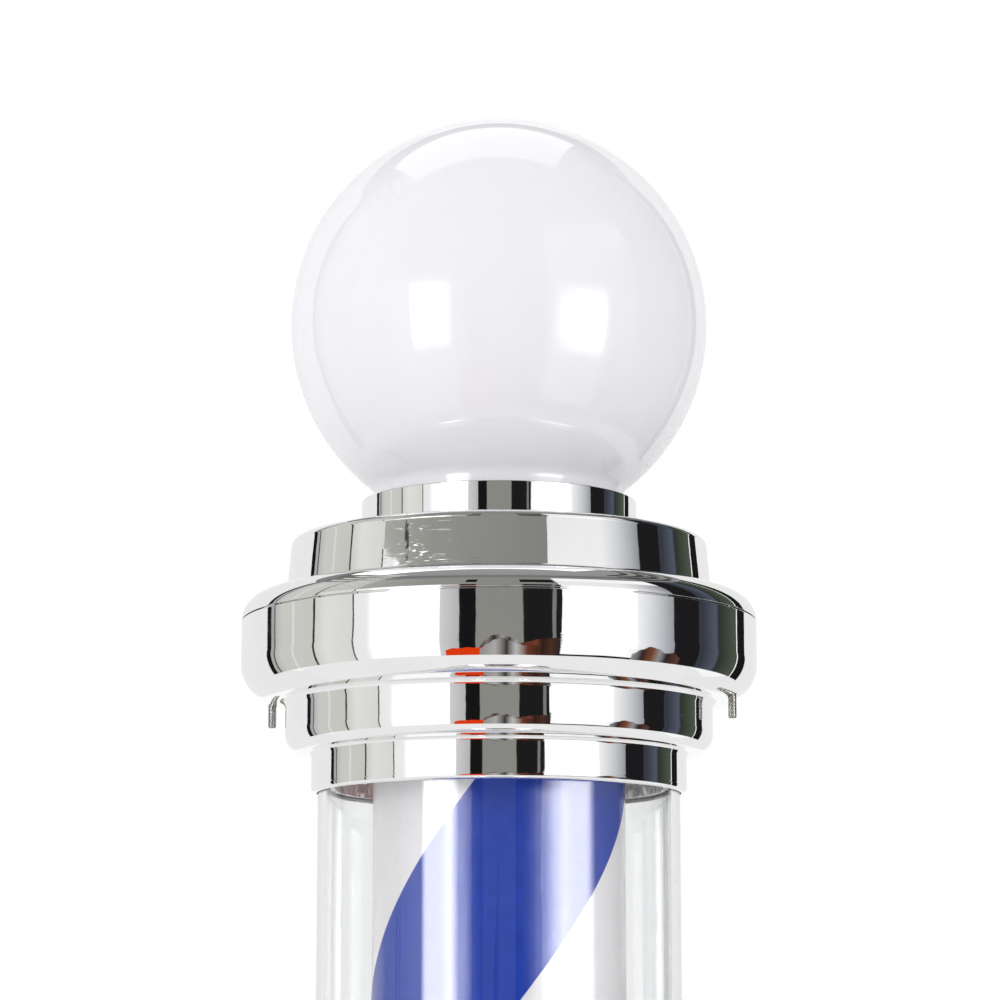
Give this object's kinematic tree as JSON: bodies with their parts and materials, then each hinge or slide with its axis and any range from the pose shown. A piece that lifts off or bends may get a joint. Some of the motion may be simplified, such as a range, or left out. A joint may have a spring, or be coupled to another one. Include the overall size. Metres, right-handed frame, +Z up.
{
  "type": "barber pole light",
  "caption": "Wall-mounted barber pole light: opal globe over stepped chrome caps, a clear tube and a striped drum that a gear motor turns.",
  "frame": {"origin": "centre of the wall rail's back face, level with the middle of the clear tube", "axes": "+Z up along the pole, +Y into the wall, -Y the front, +X to the right seen from the front"},
  "size_m": [0.186, 0.203, 0.7004],
  "materials": {
    "rail_steel": "satin stainless strip",
    "fastener_steel": "bright zinc-plated steel",
    "chrome_shell": "mirror chrome plating over moulded plastic",
    "opal_globe": "glossy opal white, lets lamp light through",
    "seal_rubber": "matt black",
    "plate_steel": "zinc-plated sheet",
    "lamp_plastic": "white heat-resistant plastic",
    "lamp_cap_metal": "nickel-plated screw cap",
    "lamp_frost": "frosted diffuser",
    "clear_tube": "clear polished acrylic",
    "carrier_aluminium": "mill-finish extrusion",
    "led_board_white": "white solder mask",
    "led_chip": "yellow phosphor",
    "drum_white": "white printed film",
    "stripe_blue": "blue printed film",
    "stripe_red": "red printed film",
    "hub_plastic": "natural white nylon",
    "bush_brass": "sintered bronze",
    "gear_plastic": "natural acetal",
    "motor_steel": "zinc-plated can",
    "driver_plastic": "white box",
    "terminal_plastic": "off-white nylon",
    "switch_black": "fine-grained black",
    "gland_plastic": "black nylon",
    "lead_white": "white sleeving",
    "lead_red": "red sleeving",
    "lead_black": "black sleeving"
  },
  "bodies": {
    "pole": {"bottom_body": "chrome_shell", "bottom_dome": "chrome_shell", "bottom_lid": "chrome_shell", "bottom_plate": "plate_steel", "bottom_tube_seal": "seal_rubber", "bracket_screws": "fastener_steel", "cable_gland": "gland_plastic", "cap_nuts": "fastener_steel", "cap_screws": "fastener_steel", "centre_nuts": "fastener_steel", "centre_tube": "plate_steel", "centre_washers": "fastener_steel", "collar_screws": "fastener_steel", "gland_nut": "gland_plastic", "globe": "opal_globe", "globe_collar": "chrome_shell", "globe_gasket": "seal_rubber", "lamp_body": "lamp_plastic", "lamp_bracket": "plate_steel", "lamp_cap": "lamp_cap_metal", "lamp_envelope": "lamp_frost", "lamp_holder": "lamp_plastic", "lamp_lead": "lead_white", "led_boards": "led_board_white", "led_carrier": "carrier_aluminium", "led_chips": "led_chip", "led_driver": "driver_plastic", "led_lead": "lead_red", "lid_nuts": "fastener_steel", "lid_screws": "fastener_steel", "light_switch_housing": "switch_black", "lower_arm": "rail_steel", "motor_body": "motor_steel", "motor_lead": "lead_black", "motor_screws": "fastener_steel", "outer_tube": "clear_tube", "plate_screws": "fastener_steel", "rail_screws": "fastener_steel", "spin_switch_housing": "switch_black", "terminal_block": "terminal_plastic", "thrust_washers": "hub_plastic", "top_body": "chrome_shell", "top_lid": "chrome_shell", "top_plate": "plate_steel", "top_tube_seal": "seal_rubber", "upper_arm": "rail_steel", "wall_rail": "rail_steel"},
    "drum": {"drum_skin": "drum_white", "stripe_blue": "stripe_blue", "stripe_red": "stripe_red", "drum_top_hub": "hub_plastic", "drum_bottom_hub": "hub_plastic", "upper_bush": "bush_brass", "lower_bush": "bush_brass", "drum_gear": "gear_plastic", "gear_screws": "fastener_steel"},
    "motor_rotor": {"motor_shaft": "plate_steel", "motor_pinion": "gear_plastic"},
    "light_rocker": {"light_rocker": "switch_black"},
    "spin_rocker": {"spin_rocker": "switch_black"}
  },
  "joints": [
    {"name": "drum_spin", "type": "hinge", "parent": "pole", "child": "drum", "pos_m": [0, -0.11, 0], "axis": [0, 0, 1], "continuous": true},
    {"name": "motor_spin", "type": "hinge", "parent": "pole", "child": "motor_rotor", "pos_m": [0.045, -0.11, -0.19], "axis": [0, 0, 1], "continuous": true},
    {"name": "light_switch", "type": "hinge", "parent": "pole", "child": "light_rocker", "pos_m": [-0.02323, -0.16748, -0.26], "axis": [0.3746, 0.9272, 0], "range_deg": [0, 20]},
    {"name": "spin_switch", "type": "hinge", "parent": "pole", "child": "spin_rocker", "pos_m": [0.02323, -0.16748, -0.26], "axis": [-0.3746, 0.9272, 0], "range_deg": [0, 20]}
  ],
  "couplings": [
    {"joint": "motor_spin", "follows": "drum_spin", "ratio": -3.5}
  ]
}
